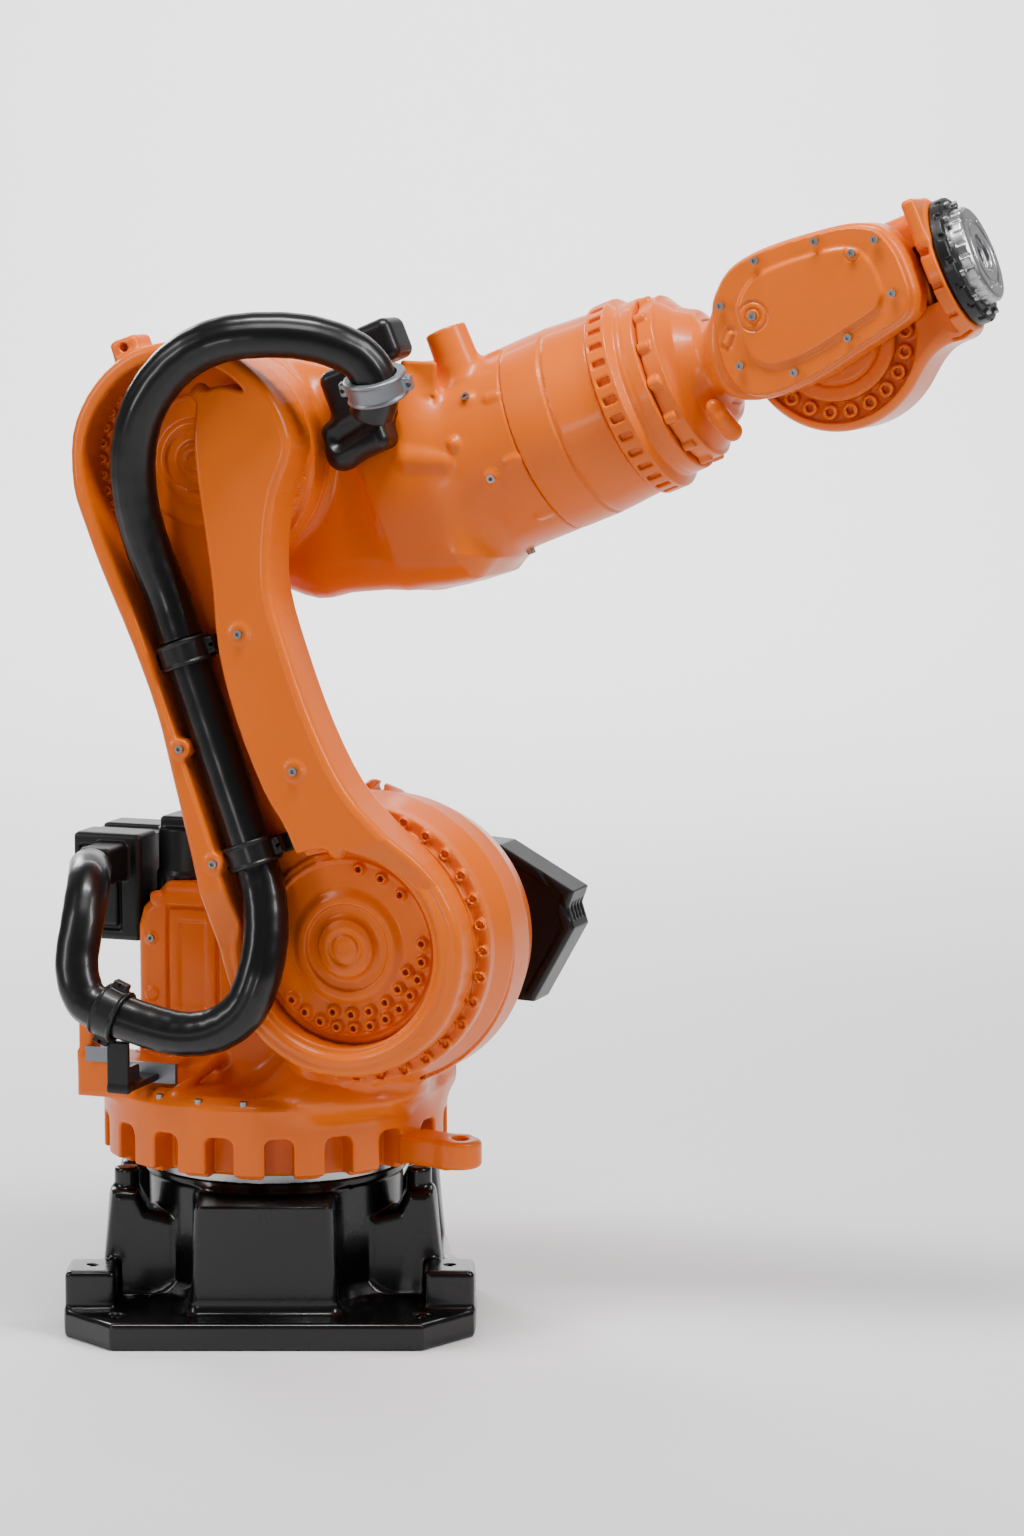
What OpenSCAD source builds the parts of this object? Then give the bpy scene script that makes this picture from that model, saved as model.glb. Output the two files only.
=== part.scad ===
// Heavy six-axis articulated robot arm on a four-footed floor base.
// Row frame: origin on the floor under the axis of the turntable, +Z up, base square to X and Y.
// Arm frame: the row frame turned by the rest heading, x forward, y to the far side, z up.

/* [Base] */
// Half the width of the square foot plate
foot_half = 536; // [520:1:560]
// Thickness of the foot plate
foot_h = 72; // [60:1:90]
// Height of the four fastening pads
pad_h = 172; // [150:1:190]
// Distance between fastening holes across the front
base_hole_x = 800; // [780:1:800]
// Distance between fastening holes from front to rear
base_hole_y = 880; // [860:1:890]
// Radius of the fastening holes
base_hole_r = 13.5; // [9:0.5:16]
// Outer radius of the base barrel
barrel_r = 341; // [330:1:345]
// Height of the base barrel
barrel_h = 400; // [390:1:400]

/* [Turntable] */
// Heading of the arm at rest, turned towards the front
arm_turn = 20; // [0:1:45]
// Outer radius of the castellated skirt
skirt_r = 460; // [456:1:470]
// Number of windows round the skirt
windows = 18; // [12:1:24]
// Height of the turntable deck
deck_z = 625; // [620:1:630]

/* [Arm] */
// Forward offset of the shoulder axis
a2_x = 387; // [380:1:400]
// Height of the shoulder axis
a2_z = 1060; // [1050:1:1080]
// Distance from shoulder axis to elbow axis
link_len = 1300; // [1290:1:1310]
// Backward lean of the link arm at rest
link_lean = 18.4; // [10:0.1:22]
// Upward slope of the forearm at rest
arm_pitch = 22.5; // [0:0.5:30]
// Distance of the forearm's roll axis below the elbow axis
elbow_drop = 253; // [250:1:256]
// Radius of the forearm tube
tube_r = 255; // [252:1:255]
// Distance from the elbow to the wrist tilt axis, along the roll axis
wrist_s = 1555; // [1550:1:1570]
// Distance from the wrist tilt axis to the tool flange face
flange_s = 440; // [436:1:446]

/* [Tool flange] */
// Pitch circle of the tool flange holes
tool_pcd = 200; // [190:1:205]
// Number of tool flange holes
tool_count = 6; // [4:1:8]
// Radius of the threaded tool holes
tool_hole_r = 7; // [5:0.5:8]
// Radius of the centring bore
tool_bore_r = 50; // [40:1:55]

/* [Hose] */
// Radius of the service hose
hose_r = 59; // [50:1:60]

/* [Hidden] */
$fn = 96;

orange = [0.92, 0.42, 0.05];
black = [0.06, 0.06, 0.07];
steel = [0.62, 0.63, 0.65];
grey = [0.45, 0.47, 0.5];

gap = 2;            // air between bodies that turn past each other
run = 0.05;         // radial clearance of a running fit
link_far = -385;    // side face of the link towards the column and forearm
link_near = -545;   // near rim of the link
hub_near = -500;    // near rim of the lower hub
web_near = -420;    // near face of the link's web
window_start = 20;   // heading of a skirt window
hub_r = 330;
head_r = 307;
housing_near = link_far + gap;
ring_near = housing_near + 16.5;   // face that the ring of bolts bears on
a2_bore_r = 215;
a3_bore_r = 180;
a4_s = 1128;        // joint face of the roll axis
bearing_r = 300;
case_near = -205;   // near face of the wrist's gear case
case_far = -72;

// ---- places and axes ----
module arm() rotate([0, 0, -arm_turn]) children();
module at_a2() translate([a2_x, 0, a2_z]) rotate([0, -link_lean, 0]) children();
module at_head() at_a2() translate([0, 0, link_len]) children();
a3 = [a2_x - link_len * sin(link_lean), 0, a2_z + link_len * cos(link_lean)];
module at_elbow() translate(a3) rotate([0, -arm_pitch, 0]) children();
module at_roll() at_elbow() translate([0, 0, -elbow_drop]) children();
module at_tilt() at_roll() translate([wrist_s, 0, 0]) children();

module y_cyl(r, y0, y1) translate([0, y0, 0]) rotate([-90, 0, 0]) cylinder(r = r, h = y1 - y0);
module y_cone(r0, r1, y0, y1) translate([0, y0, 0]) rotate([-90, 0, 0]) cylinder(r1 = r0, r2 = r1, h = y1 - y0);
module x_cyl(r, x0, x1) translate([x0, 0, 0]) rotate([0, 90, 0]) cylinder(r = r, h = x1 - x0);
module x_cone(r0, r1, x0, x1) translate([x0, 0, 0]) rotate([0, 90, 0]) cylinder(r1 = r0, r2 = r1, h = x1 - x0);
module z_ring(ro, ri, z0, z1) translate([0, 0, z0]) difference() {
  cylinder(r = ro, h = z1 - z0);
  translate([0, 0, -1]) cylinder(r = ri, h = z1 - z0 + 2);
}
module y_ring(ro, ri, y0, y1) difference() { y_cyl(ro, y0, y1); y_cyl(ri, y0 - 1, y1 + 1); }
module x_ring(ro, ri, x0, x1) difference() { x_cyl(ro, x0, x1); x_cyl(ri, x0 - 1, x1 + 1); }
// extrudes a profile drawn in x and z along y
module side(y0, y1) translate([0, y1, 0]) rotate([90, 0, 0]) linear_extrude(y1 - y0) children();
module round_y(n, r) for (i = [0:n - 1])
  rotate([0, 360 * i / n, 0]) translate([r, 0, 0]) children();
module round_x(n, r, from = 0) for (i = [0:n - 1]) rotate([from + 360 * i / n, 0, 0]) translate([0, 0, r]) children();
module corners(x, y) for (sx = [-1, 1], sy = [-1, 1]) translate([sx * x, sy * y, 0]) children();
// socket head screw whose head bears on the plane z = 0
module screw_z(r = 11, h = 12) difference() {
  cylinder(r = r, h = h, $fn = 24);
  translate([0, 0, h / 2]) cylinder(r = r * 0.5, h = h, $fn = 6);
}
module screw_near(y, r = 11, h = 12) translate([0, y, 0]) rotate([90, 0, 0]) screw_z(r, h);

// tube swept along points by rings that stand square to the route
function unit(v) = v / norm(v);
function flow(p, i) = unit(p[min(i + 1, len(p) - 1)] - p[max(i - 1, 0)]);
function spine(a, b, c, d, t) = 0.5 * (2 * b + (c - a) * t + (2 * a - 5 * b + 4 * c - d) * t * t
  + (3 * b - 3 * c + d - a) * t * t * t);
function smooth(p, n) = [for (i = [0:len(p) - 2]) for (k = [0:n - 1])
  spine(p[max(i - 1, 0)], p[i], p[i + 1], p[min(i + 2, len(p) - 1)], k / n), p[len(p) - 1]];
module tube(p, r, first, last, sides = 12) {
  route = smooth(p, 3);
  n = len(route);
  points = [for (i = [0:n - 1]) let (t = i == 0 ? first : i == n - 1 ? last : flow(route, i), u = unit(cross(t, [0.3, 1, 0.2])), v = cross(t, u))
    for (k = [0:sides - 1]) route[i] + r * (cos(360 * k / sides) * u + sin(360 * k / sides) * v)];
  walls = [for (i = [0:n - 2]) for (k = [0:sides - 1]) let (m = (k + 1) % sides)
    [i * sides + k, i * sides + m, (i + 1) * sides + m, (i + 1) * sides + k]];
  polyhedron(points, concat([[for (k = [sides - 1:-1:0]) k]], walls,
    [[for (k = [0:sides - 1]) (n - 1) * sides + k]]), convexity = 4);
}

// ---- hose route in the arm frame, from the supply box to the forearm ----
// the hose's runs butt together under the clamps, square to these directions
box_way = unit([0, -1, 0]);
loop_way = unit([1, 0, -0.3]);
link_way = unit([-68, 0, 191]);
end_way = unit([-25, 30, -70]);
butt = 0.5;           // half the gap where two runs meet
route_column = [[-385, -330, 1205], [-338, -440, 1185], [-318, -520, 1100], [-312, -570, 990],
  [-275, -590, 908], [-205, -590, 880] - butt * loop_way];
route_shoulder = [[-205, -590, 880] + butt * loop_way, [-100, -590, 852], [0, -590, 838], [88, -585, 855],
  [160, -576, 910], [197, -564, 1000], [202, -532, 1095], [185, -502, 1190], [159, -487, 1265] - butt * link_way];
link_start = [159, -487, 1265];
link_end = [-45, -487, 1838];
route_link = [link_start + butt * link_way, [91, -487, 1456], [23, -487, 1647], link_end - butt * link_way];
route_elbow = [link_end + butt * link_way, [-83, -490, 1950], [-121, -515, 2070], [-141, -545, 2190], [-133, -575, 2320],
  [-88, -600, 2440], [-5, -608, 2540], [95, -602, 2598], [205, -575, 2618], [330, -520, 2610],
  [430, -460, 2565], [470, -430, 2490], [445, -400, 2420]];

// ======================= base =======================
foot_front = [[-foot_half, -foot_half + 147], [-foot_half + 132, -foot_half], [foot_half - 132, -foot_half],
  [foot_half, -foot_half + 147]];
foot_rear = [[foot_half, 60], [470, 250], [448, 480], [foot_half - 132, foot_half], [132 - foot_half, foot_half],
  [-448, 480], [-470, 250], [-foot_half, 60]];
pad_x = 470;          // centre of a jacking pad beside the front feet
strut_in = 345;       // where the ribs spring from the barrel
module gusset() {
  // leaning rib from a fastening pad up to the barrel, with a short post above it
  rotate([90, 0, 0]) linear_extrude(120, center = true)
    polygon([[strut_in, foot_h], [430, foot_h], [452, pad_h], [448, 250], [442, 350], [strut_in - 60, 350], [300, foot_h]]);
  translate([352, -50, 340]) cube([72, 100, 68]);
}
module base_casting() color(black) difference() {
  union() {
    linear_extrude(foot_h) polygon(concat(foot_front, foot_rear));
    cylinder(r = barrel_r, h = barrel_h);
    cylinder(r = barrel_r + 14, h = foot_h + 30);
    translate([0, 0, barrel_h - 24]) cylinder(r = barrel_r + 11, h = 24);
    for (sx = [-1, 1]) translate([sx * pad_x - 66, -378, 0]) cube([132, 156, pad_h]);
    for (sx = [0, 1], sy = [-1, 1]) mirror([sx, 0, 0]) translate([0, sy * 170, 0]) gusset();
    hull() {
      translate([-209, -436, 0]) cube([395, 130, 8]);
      translate([-189, -376, barrel_h - 34]) cube([360, 70, 8]);
    }
  }
  translate([0, 0, 40]) cylinder(r = 285, h = barrel_h);
  corners(base_hole_x / 2, base_hole_y / 2) translate([0, 0, -1]) cylinder(r = base_hole_r, h = foot_h + 2);
  for (sx = [-1, 1]) translate([sx * pad_x, -300, pad_h - 60]) cylinder(r = 12, h = 61);
  translate([-120, barrel_r - 90, 150]) cube([240, 120, 160]);
}
module base_bearing_ring() color(steel) z_ring(346, bearing_r, barrel_h, barrel_h + 22);
module base_gear_unit() color(grey) {
  z_ring(220, 60, 40, 360);
  z_ring(284, 60, 360, 395);
}
module connector_panel() color(black) translate([-150, barrel_r + 6, 130]) difference() {
  cube([300, 34, 200]);
  for (i = [0:2]) translate([70 + 80 * i, -1, 100]) rotate([-90, 0, 0]) cylinder(r = 27, h = 40);
}
module base_connectors() color(steel) for (i = [-1:1]) translate([80 * i, barrel_r - 20, 230]) rotate([-90, 0, 0]) {
  cylinder(r = 26.7, h = 90);
  translate([0, 0, 62]) cylinder(r = 33, h = 22, $fn = 8);
}
module base_screws() color(steel) for (x = [-130, 130], z = [150, 310])
  translate([x, barrel_r + 40, z]) rotate([-90, 0, 0]) screw_z(9, 9);

// ======================= column =======================
module column_casting() color(orange) arm() difference() {
  union() {
    translate([0, 0, 560]) cylinder(r = skirt_r, h = deck_z - 560);
    z_ring(skirt_r, 402, 440, 561);
    z_ring(430, 362, 427, 561);
    z_ring(297, 190, 445, 561);
    translate([0, 0, deck_z - 1]) cylinder(r = 425, h = 16);
    side(-350, -205) polygon([[-424, deck_z - 1], [-424, 722], [-300, 700], [-130, 655], [-100, deck_z - 1]]);
    translate([-420, -345, 700]) cube([44, 60, 105]);
    side(-205, 230) polygon([[-314, deck_z], [-314, 1085], [-232, 1160], [90, 1165], [230, 1250], [a2_x, 1290],
      [a2_x + 90, 760], [455, 680], [430, deck_z]]);
    translate([a2_x, 0, a2_z]) y_cyl(262, 2, 130);
    translate([a2_x - 95, -230, 600]) cylinder(r = 150, h = 70);
  }
  for (i = [0:windows - 1]) rotate([0, 0, 360 * i / windows + window_start]) {
    translate([380, -34, 440]) cube([100, 68, 84]);
    translate([380, -20, 440]) cube([100, 40, 98]);
  }
  cylinder(r = 95, h = 1100);
  translate([a2_x, 0, a2_z]) y_cyl(384, -300, -231);
  translate([a2_x, 0, a2_z - 16]) y_cyl(379, -232, 2);
  translate([a2_x, 0, a2_z]) y_cyl(170, -10, 101);
  translate([-225, -206, 790]) cube([150, 12, 310]);
  translate(a1_motor_at) cylinder(r = 89, h = 200);
  translate([428, 130.5, 700]) cube([200, 110, 620]);
}
module turntable_bearing_ring() color(steel) arm() z_ring(bearing_r - run, 200, barrel_h + 2, 445);
module stop_lug() color(orange) arm() {
  rotate([0, 0, -15]) translate([skirt_r - 3, -60, 446]) difference() {
    union() {
      cube([148, 120, 74]);
      translate([148, 60, 0]) cylinder(r = 60, h = 74);
    }
    translate([-skirt_r + 3, 60, -1]) cylinder(r = skirt_r + 0.2, h = 90);
  }
}
module deck_brackets() color(grey) arm() {
  translate([-388, -366, 700]) cube([76, 15.5, 40]);
  translate([-288, -366, 655]) cube([158, 15.5, 52]);
}
module gearbox_cover() color(orange) arm() translate([-222, -205, 794]) difference() {
  translate([0, 0.5, 0]) cube([144, 8, 302]);
  translate([30, -1, 30]) cube([84, 5, 242]);
}
a1_motor_at = [-220, -60, 1000];
module a1_motor() color(black) arm() translate(a1_motor_at) {
  cylinder(r = 88.5, h = 175);
  translate([0, 0, 175]) cylinder(r = 82, h = 120);
  translate([-60, -60, 295]) cube([120, 120, 30]);
}
module supply_box() color(black) arm() {
  difference() {
    translate([-512, -170, 990]) cube([196, 300, 288]);
    translate([-490, -171, 1020]) cube([120, 10, 220]);
  }
  translate([-440, -290, 1155]) cube([90, 119, 100]);
}
module a2_gear_housing() color(orange) arm() translate([a2_x, 0, a2_z]) difference() {
  union() {
    y_cyl(329, housing_near, -360);
    y_cyl(362, ring_near, -330);
    y_cone(362, 383, -330, -250);
    y_cyl(382, -250, -238);
    y_cyl(372, -238, -230);
    translate([0, 0, -16]) y_cyl(378, -230, -120);
    translate([0, 0, -16]) y_cone(378, 344, -120, 1);
    translate([-78, -150, 352]) cube([90, 90, 46]);
  }
  y_cyl(a2_bore_r, -400, 10);
  round_y(32, 345) y_cyl(8, -400, -345);
}
module a2_housing_screws() color(orange) arm() translate([a2_x, 0, a2_z])
  round_y(32, 345) translate([0, ring_near, 0]) rotate([90, 0, 0]) difference() {
    cylinder(r = 15, h = 16, $fn = 24);
    translate([0, 0, 4]) cylinder(r = 8, h = 20, $fn = 24);
  }
module a2_main_bearing() color(steel) arm() translate([a2_x, 0, a2_z]) y_ring(a2_bore_r, 180 + run, -382, -310);
module a2_gear_unit() color(grey) arm() translate([a2_x, 0, a2_z]) {
  y_cyl(a2_bore_r - 0.5, -300, -20);
  y_cyl(165, -20, 100);
}
module a2_motor() color(black) arm() {
  side(131, 265) polygon([[430, 1265], [590, 1255], [798, 1140], [782, 1095], [799, 1040], [686, 838], [430, 850]]);
  translate([a2_x + 130, 0, a2_z - 10]) y_cyl(120, 264, 320);
}
clamp_w = 70;
module band(r_out, r_in, w) difference() {
  cylinder(r = r_out, h = w, center = true);
  cylinder(r = r_in, h = w + 2, center = true);
}
module column_hose_clamp() color(black) arm() {
  translate([-205, -590, 880]) rotate([0, 106.7, 0]) band(hose_r + 16, hose_r + 3, 60);
  translate([-235, -560, 676]) cube([60, 16, 122]);
  translate([-235, -560, 665]) cube([60, 193.5, 16]);
}
module column_screws() color(steel) arm() {
  translate([-268, 0, 1010]) screw_near(-205, 10, 9);
  for (a = [250:16:282]) rotate([0, 0, a]) translate([442, 0, deck_z]) screw_z(11, 12);
}
module column_hose() color(black) arm() tube(route_column, hose_r, box_way, loop_way);
module shoulder_hose() color(black) arm() tube(route_shoulder, hose_r, loop_way, link_way);

// ======================= link arm =======================
// outline of the link seen from the side: x forward, y along the link
module link_outline() {
  circle(r = hub_r);
  translate([0, link_len]) circle(r = head_r);
  polygon([[-318, 0], [-312, 180], [-300, 330], [-282, 560], [-272, 718], [-280, 900], [-300, 1100], [-306, 1230],
    [-306, 1300], [0, link_len + 200], [300, 1340], [300, 1240], [228, 1150], [170, 1040], [132, 917], [127, 750],
    [136, 560], [166, 390], [228, 260], [292, 130], [325, 0]]);
}
module link_channel() {
  polygon([[-200, 60], [-228, 100], [-228, 340], [-232, 560], [-236, 718], [-240, 900], [-248, 1080], [-257, 1150],
    [-258, 1230], [110, 1230], [60, 1100], [-5, 978], [-51, 820], [-62, 639], [-48, 448], [10, 300], [40, 200],
    [40, 60]]);
}
// the rib that carries on from the front edge over the head
module head_rib() polygon([[-10, -330], [60, -200], [125, -60], [178, 60], [215, 180], [240, 300], [400, 300],
  [400, -330]]);
module link_casting() color(orange) arm() at_a2() difference() {
  union() {
    side(link_near, link_far) link_outline();
    translate([-106, -480, link_len + 293]) cube([84, 60, 60]);
  }
  side(link_near - 1, web_near) link_channel();
  y_cyl(253, link_near - 1, web_near);
  side(link_near - 1, web_near) translate([0, link_len]) difference() {
    circle(r = 262);
    head_rib();
  }
  // the lower hub stands back from the near rim
  side(link_near - 1, hub_near) difference() {
    translate([0, -60]) circle(r = 400);
    translate([-700, 150]) square([1400, 400]);
  }
  y_cyl(150, -450, link_far + 1);
  translate([0, 0, link_len]) y_cyl(110, -450, link_far + 1);
}
module a2_output_hub() color(steel) arm() at_a2() {
  y_cyl(180, -380, -302);
  y_cyl(149.5, -418, -380);
}
module a2_hub_cover() color(orange) arm() at_a2() difference() {
  union() {
    y_cyl(250, -434, web_near);
    y_ring(118, 92, -452, -434);
    y_cyl(62, -458, -434);
    for (a = [18:14:150]) rotate([0, a, 0]) translate([212, 0, 0]) y_cyl(17, -444, -434);
    for (a = [40:20:120]) rotate([0, a, 0]) translate([178, 0, 0]) y_cyl(15, -444, -434);
  }
  for (a = [18:14:150]) rotate([0, a, 0]) translate([212, 0, 0]) y_cyl(8, -450, -424);
  for (a = [40:20:120]) rotate([0, a, 0]) translate([178, 0, 0]) y_cyl(7, -450, -424);
}
module a3_output_hub() color(steel) arm() at_head() {
  y_cyl(140, -380, -302);
  y_cyl(109.5, -418, -380);
}
module a3_hub_cover() color(orange) arm() at_head() difference() {
  union() {
    y_cyl(168, -434, web_near);
    y_ring(104, 78, -446, -434);
    y_cyl(44, -448, -434);
  }
  y_cyl(14, -460, -440);
  side(-460, -400) head_rib();
}
link_screw_places = [[-232, 610], [-238, 305], [20, 842], [52, 470]];
module link_screws() color(steel) arm() at_a2() {
  for (p = link_screw_places) translate([p[0], 0, p[1]]) screw_near(link_near, 11, 12);
  translate([0, 0, link_len]) for (a = [140:13:250]) rotate([0, a, 0]) translate([222, 0, 0])
    screw_near(web_near, 11, 12);
}
module link_hose_clamps() color(black) arm() for (p = [link_start + clamp_w / 2 * link_way, link_end - clamp_w / 2 * link_way])
  translate(p) rotate([0, -19.6, 0]) band(hose_r + 7, hose_r + 2.5, clamp_w);
module link_hose() color(black) arm() tube(route_link, hose_r, link_way, link_way);

// ======================= forearm =======================
module shoulder_body() {
    translate([0, 0, elbow_drop]) y_cyl(290, -258, 235);
    x_cyl(tube_r, 340, 756);
    hull() {
      translate([0, 0, elbow_drop]) y_cyl(255, -231, 200);
      translate([150, 0, 28]) y_cyl(222, -225, 210);
      x_cyl(tube_r - 3, 340, 540);
    }
    translate([-290, -150, elbow_drop - 120]) cube([260, 370, 290]);
}
module shoulder_casting() color(orange) arm() at_roll() difference() {
  shoulder_body();
  x_cyl(200, 40, 757);
  translate([0, 0, elbow_drop]) y_cyl(a3_bore_r + 40, -259, -100);
  translate([-240, -120, elbow_drop - 90]) cube([300, 300, 220]);
}
module a3_gear_ring() color(orange) arm() at_elbow() difference() {
  union() {
    y_cyl(268, housing_near, -340);
    y_cyl(286, -340, -258);
  }
  y_cyl(a3_bore_r, -400, -250);
  round_y(28, 240) y_cyl(8, -400, -350);
}
module a3_main_bearing() color(steel) arm() at_elbow() y_ring(a3_bore_r - 0.2, 140 + run, -382, -305);
module a3_motor() color(black) arm() at_elbow() {
  translate([40, 0, 20]) y_cyl(115, 235.5, 420);
  translate([-75, 420, -95]) cube([230, 60, 230]);
}
motor_places = [[-70, 70], [110, 100], [70, -60]];
module wrist_motors() color(black) arm() at_elbow() for (p = motor_places)
  translate([0, p[0], p[1] - 10]) {
    x_cyl(74, -400, -290.5);
    translate([-440, -62, -62]) cube([40, 124, 124]);
  }
module wrist_drive_shafts() color(steel) arm() at_roll() {
  x_ring(70, 62, 80, 1040);
  x_ring(52, 44, 70, 1080);
  x_cyl(34, 60, 1240);
}
module elbow_hose() color(black) arm() tube(route_elbow, hose_r, link_way, end_way);
module hose_carrier() color(black) arm() at_elbow() difference() {
  union() {
    translate([300, -345, -150]) cube([190, 115, 130]);
    translate([345, -340, -60]) cube([130, 110, 150]);
    translate([440, -250, 60]) cube([110, 130, 110]);
  }
  translate([340, -346, -110]) cube([110, 60, 60]);
  translate([0, 0, -elbow_drop]) shoulder_body();
  y_cyl(292, -400, 0);
}
clamp_at = route_elbow[11];
module forearm_hose_clamp() color(grey) arm() translate(clamp_at) rotate([22.4, -5.9, 0])
  band(hose_r + 22, hose_r + 14, 46);
module cable_stub() color(orange) arm() at_roll() difference() {
  translate([635, -100, 215]) cylinder(r = 55, h = 130);
  translate([635, -100, 262]) cylinder(r = 42, h = 100);
  x_cyl(tube_r + 0.3, 300, 760);
}
module lifting_eye() color(orange) arm() at_roll() difference() {
  union() {
    rotate([45, 0, 0]) translate([571, 0, tube_r + 2]) rotate([90, 0, 0]) cylinder(r = 28, h = 24, center = true);
    rotate([45, 0, 0]) translate([544, -12, tube_r - 8]) cube([70, 24, 16]);
  }
  rotate([45, 0, 0]) translate([571, 0, tube_r + 14]) rotate([90, 0, 0]) cylinder(r = 12, h = 40, center = true);
  x_cyl(tube_r + 0.3, 300, 756);
}
module extension_tube() color(orange) arm() at_roll() difference() {
  union() {
    x_cyl(tube_r, 756.5, 872);
    x_cone(tube_r - 2, 243, 872, 1000);
  }
  x_cyl(200, 756, 1001);
}
module a4_gear_housing() color(orange) arm() at_roll() difference() {
  union() {
    x_cyl(256, 1000.5, 1066);
    x_cyl(232, 1066, a4_s);
  }
  x_cyl(160, 1000, a4_s + 1);
  round_x(32, 248, 4) translate([1012, 0, 0]) translate([0, -9, -9]) cube([34, 18, 30]);
}
module a4_main_bearing() color(steel) arm() at_roll() x_ring(159.8, 120 + run, 1040, a4_s - 2);
module forearm_screws() color(steel) arm() at_roll() {
  for (p = [[662, 54], [662, 104.5], [600, 180], [662, 270]]) rotate([p[1], 0, 0]) translate([p[0], 0, tube_r])
    screw_z(11, 12);
}

// ======================= wrist =======================
module wrist_flange() color(orange) arm() at_roll() difference() {
  union() {
    x_cyl(218, a4_s + gap, a4_s + 50);
    x_cyl(120, 1045, a4_s + gap);
    x_cyl(150, a4_s + 50, a4_s + 90);
  }
  x_cyl(76, 1040, a4_s + 91);
}
// outline of the wrist's gear case, seen from the side, round the tilt axis
case_outline = [[-205, 123], [-175, 163], [-128, 196], [-61, 207], [26, 204], [116, 193], [238, 168], [285, 113],
  [300, 50], [298, -30], [282, -68], [258, -94], [197, -110], [88, -130], [-21, -150], [-152, -146]];
neck_end = 1252;      // the neck stops here so that the hand can swing past it
module wrist_housing() color(orange) arm() at_roll() difference() {
  union() {
    translate([wrist_s, 0, 0]) side(case_near, case_far) polygon(concat([[-300, -142], [-300, 120]], case_outline));
    x_cyl(146, a4_s + 90.5, neck_end);
    translate([neck_end - 30, case_near + 30, -120]) cube([30, case_far - case_near + 80, 232]);
  }
  translate([wrist_s, 0, 0]) y_cyl(60 + run, -150, 0);
  translate([wrist_s, 0, 0]) y_cyl(92, case_near - 1, -150);
  x_cyl(76, a4_s + 90, neck_end + 40);
}
module wrist_side_cover() color(orange) arm() at_tilt() difference() {
  side(case_near - 32, case_near) polygon([for (p = case_outline) p * 0.985]);
  translate([-185, case_near - 33, 40]) rotate([-90, 0, 0]) cylinder(r = 22, h = 10);
}
wrist_screw_places = [[-47, 180], [113, 166], [189, 105], [255, 112], [248, -25], [104, -84], [-55, -112],
  [-103, 56], [-178, -45], [-170, 110]];
module wrist_screws() color(steel) arm() at_tilt() for (p = wrist_screw_places)
  translate([p[0], 0, p[1]]) screw_near(case_near - 32, 10, 10);
module a5_gear_train() color(steel) arm() at_tilt() difference() {
  y_cyl(91.5, case_near + 1, -151);
  y_cyl(20, case_near, -150);
}

// ======================= hand =======================
ring_s = 325;         // back of the hand's ring, clear of the gear case at every tilt
ring_face = 362;
module hand_housing() color(orange) arm() at_tilt() difference() {
  union() {
    translate([20, 0, -55]) y_cyl(238, case_far + gap, 165);
    translate([60, case_far + gap, -180]) cube([ring_s - 50, 235, 340]);
    x_cyl(174, ring_s, ring_face);
    translate([ring_s, -165, 60]) cube([ring_face - ring_s, 150, 120]);
  }
  x_cyl(100 + run, 270, ring_face + 1);
  translate([0, 0, -20]) y_cyl(150, 60, 170);
}
module a5_shaft() color(steel) arm() at_tilt() y_cyl(60, -149, case_far + gap);
module a5_gear_cover() color(orange) arm() at_tilt() translate([0, 0, -20]) y_cyl(149.5, 100, 172);
module hand_screws() color(steel) arm() at_tilt() {
  translate([0, 0, -20]) for (a = [0:45:315]) rotate([0, a, 0]) translate([120, 172, 0]) rotate([-90, 0, 0])
    screw_z(10, 10);
}
module a6_gear_unit() color(grey) arm() at_tilt() x_ring(99.5, 40, 326, 344);
module tool_flange() color(steel) arm() at_tilt() difference() {
  union() {
    x_cyl(100, 345, ring_face + gap);
    x_cyl(125, ring_face + gap, flange_s);
  }
  x_cyl(tool_bore_r, flange_s - 14, flange_s + 1);
  x_cyl(38, 280, flange_s);
  round_x(tool_count, tool_pcd / 2) x_cyl(tool_hole_r, flange_s - 30, flange_s + 1);
}
module flange_ring() color(black) arm() at_tilt() x_ring(165, 125.5, ring_face + gap, ring_face + 40);
module flange_screws() color(steel) arm() at_tilt() round_x(12, 145, 15) translate([ring_face + 40, 0, 0])
  rotate([0, 90, 0]) screw_z(9, 10);

base_casting();
base_bearing_ring();
base_gear_unit();
connector_panel();
base_connectors();
base_screws();
column_casting();
turntable_bearing_ring();
stop_lug();
deck_brackets();
gearbox_cover();
a1_motor();
supply_box();
a2_gear_housing();
a2_housing_screws();
a2_main_bearing();
a2_gear_unit();
a2_motor();
column_hose_clamp();
column_screws();
column_hose();
shoulder_hose();
link_casting();
a2_output_hub();
a2_hub_cover();
a3_output_hub();
a3_hub_cover();
link_screws();
link_hose_clamps();
link_hose();
elbow_hose();
shoulder_casting();
a3_gear_ring();
a3_main_bearing();
a3_motor();
wrist_motors();
wrist_drive_shafts();
hose_carrier();
forearm_hose_clamp();
cable_stub();
lifting_eye();
extension_tube();
a4_gear_housing();
a4_main_bearing();
forearm_screws();
wrist_flange();
wrist_housing();
wrist_side_cover();
wrist_screws();
a5_gear_train();
hand_housing();
a5_shaft();
a5_gear_cover();
hand_screws();
a6_gear_unit();
tool_flange();
flange_ring();
flange_screws();
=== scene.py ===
"""Looks of a heavy six-axis robot arm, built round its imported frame.

Castings are shaped as clay: smooth unions and cuts of distance functions, turned into meshes.
Lengths inside a shape are millimetres in that casting's own frame. The scene itself is in metres.
"""
import math

import bpy
import numpy as np
import openvdb
from mathutils import Matrix, Vector


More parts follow.
